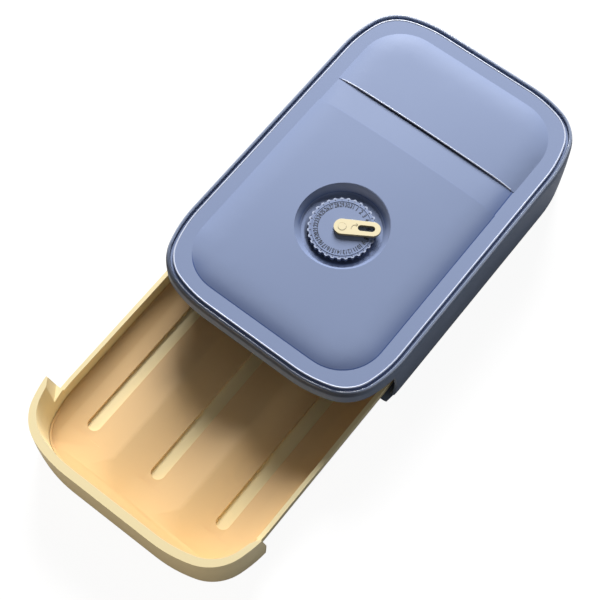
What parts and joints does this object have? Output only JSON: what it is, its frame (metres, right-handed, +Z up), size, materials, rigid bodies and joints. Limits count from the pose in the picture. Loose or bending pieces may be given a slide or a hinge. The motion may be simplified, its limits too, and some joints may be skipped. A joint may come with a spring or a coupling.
{
  "type": "egg storage box with drawer",
  "caption": "Rounded egg keeper: a domed blue casing with a date dial and pointer, and a cream pull-out drawer with a wrap-round front and three egg lanes.",
  "frame": {"origin": "on the floor under the middle of the casing, at the centre of its four feet", "axes": "+Z up; -Y the way the drawer opens; +X to the right of a person who looks along +Y at the drawer's front"},
  "size_m": [0.22, 0.504, 0.075],
  "materials": {
    "blue_casing": "smooth satin",
    "blue_cover": "smooth satin",
    "blue_dial": "satin",
    "cream_pointer": "satin",
    "cream_pin": "satin",
    "steel_washer": "brushed",
    "steel_clip": "brushed",
    "cream_drawer": "smooth satin",
    "cream_rack": "satin",
    "grey_foot": "matte"
  },
  "bodies": {
    "casing": {"casing_body": "blue_casing", "top_cover": "blue_cover", "dial_axle": "cream_pin", "dial_washer": "steel_washer", "axle_clip": "steel_clip", "foot_front_left": "grey_foot", "foot_front_right": "grey_foot", "foot_back_left": "grey_foot", "foot_back_right": "grey_foot"},
    "drawer": {"drawer_tray": "cream_drawer", "egg_rack": "cream_rack"},
    "dial": {"date_dial": "blue_dial"},
    "pointer": {"dial_pointer": "cream_pointer"}
  },
  "joints": [
    {"name": "drawer_slide", "type": "slide", "parent": "casing", "child": "drawer", "axis": [0, -1, 0], "range_m": [-0.168, 0.072]},
    {"name": "dial_turn", "type": "hinge", "parent": "casing", "child": "dial", "pos_m": [0, -0.042, 0.0681], "axis": [0, 0, 1], "continuous": true},
    {"name": "pointer_turn", "type": "hinge", "parent": "casing", "child": "pointer", "pos_m": [0, -0.042, 0.0722], "axis": [0, 0, 1], "continuous": true}
  ]
}
